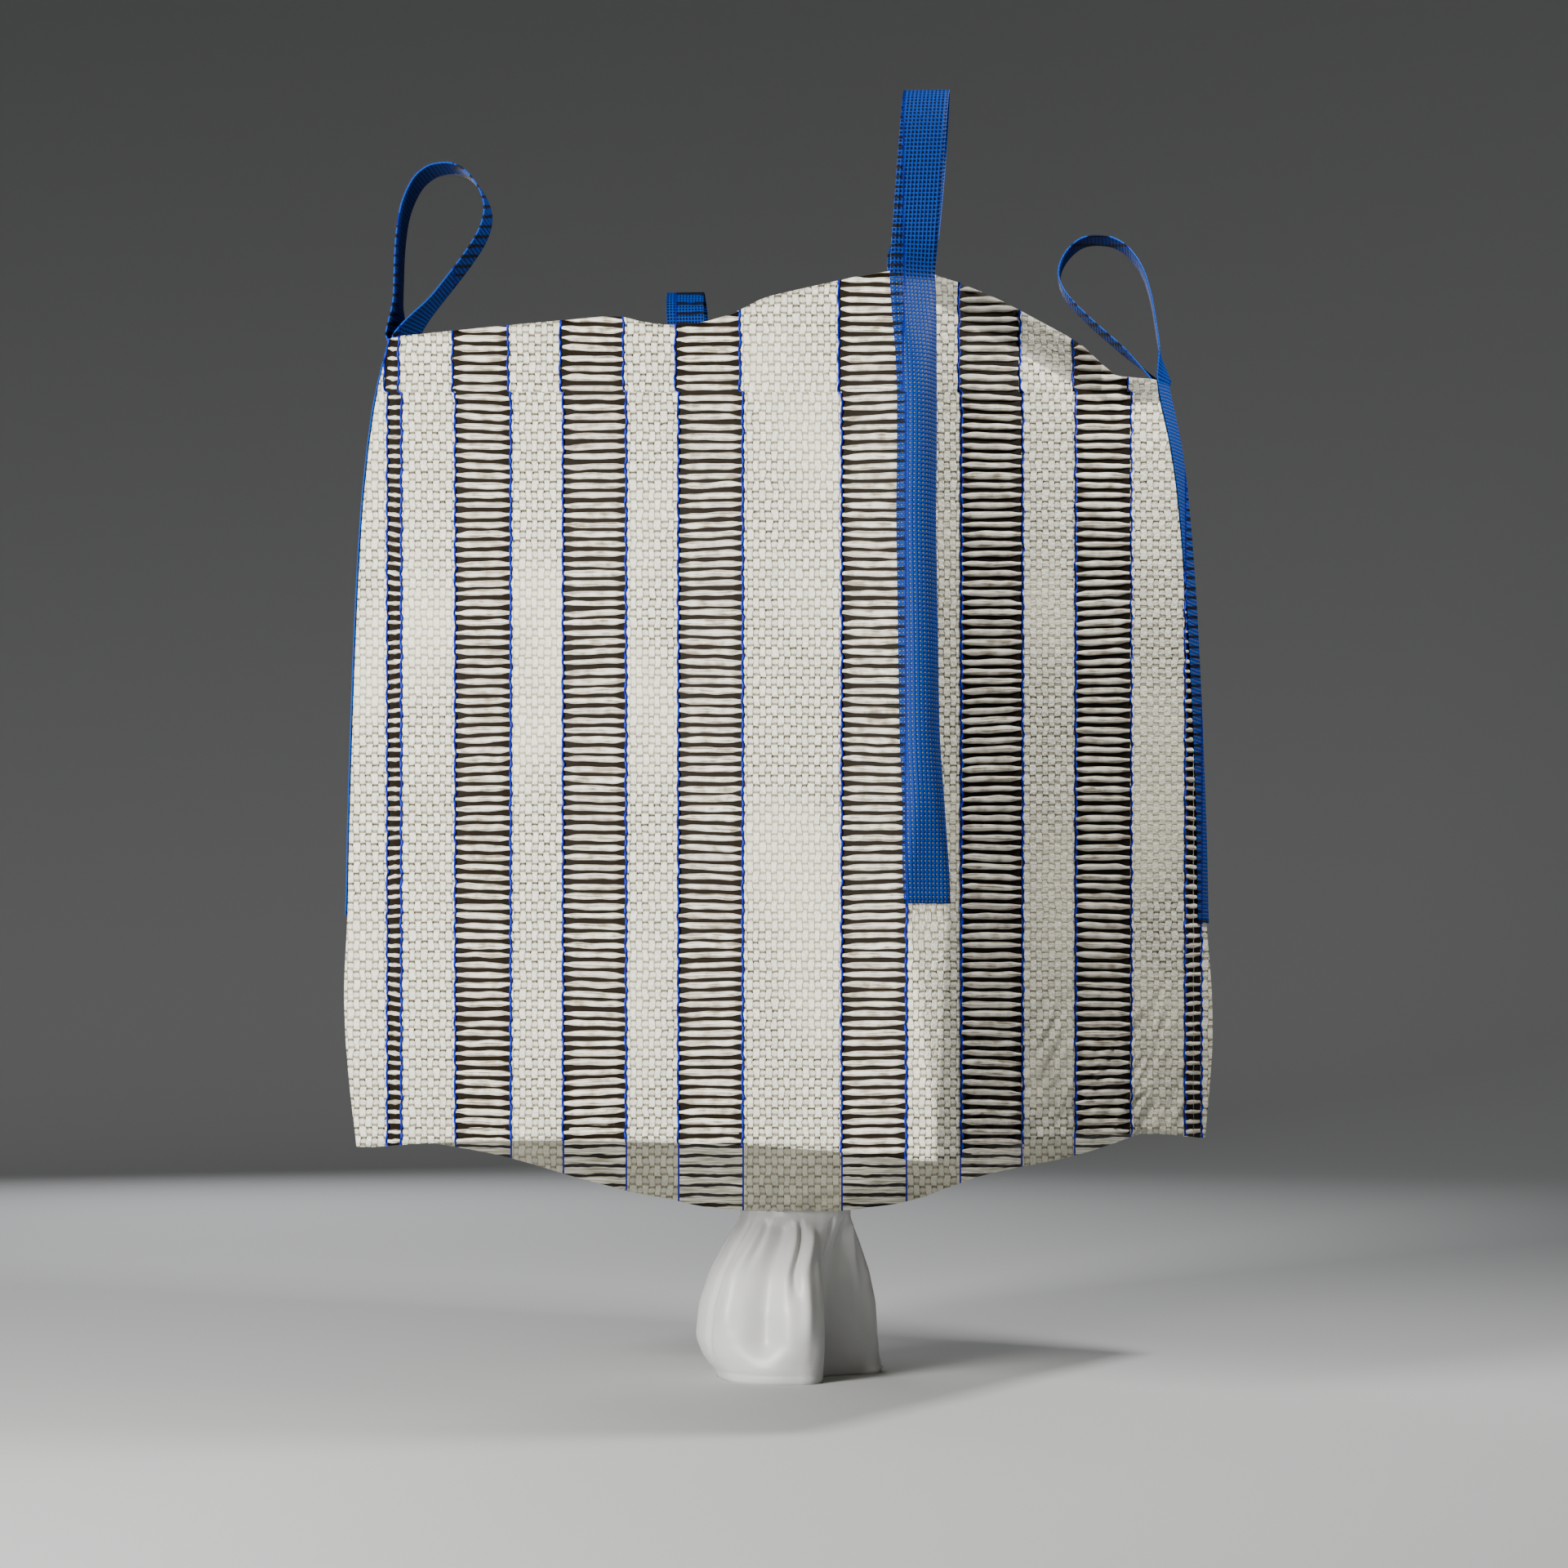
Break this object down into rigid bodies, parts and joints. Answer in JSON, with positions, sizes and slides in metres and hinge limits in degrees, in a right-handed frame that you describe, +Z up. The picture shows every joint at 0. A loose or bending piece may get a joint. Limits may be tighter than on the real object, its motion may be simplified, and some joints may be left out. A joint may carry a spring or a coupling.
{
  "type": "ventilated bulk bag",
  "caption": "Open-top woven bulk bag with upright ventilation strips, corner webbing lifting loops, a sagging base and a gathered discharge spout.",
  "frame": {"origin": "on the floor under the middle of the bag, at the foot of the discharge spout", "axes": "+Z up, -Y out of the front face with the wide view, +X to the right side seen from the front"},
  "size_m": [1.0748, 1.0756, 1.896],
  "materials": {
    "woven_body": "matte",
    "woven_base": "matte",
    "coated_spout": "satin",
    "webbing": "matte"
  },
  "bodies": {
    "root": {"bag_body": "woven_body", "base_panel": "woven_base", "discharge_spout": "coated_spout", "lifting_loop_front_left": "webbing", "lifting_loop_front_right": "webbing", "lifting_loop_back_left": "webbing", "lifting_loop_back_right": "webbing"}
  },
  "joints": []
}
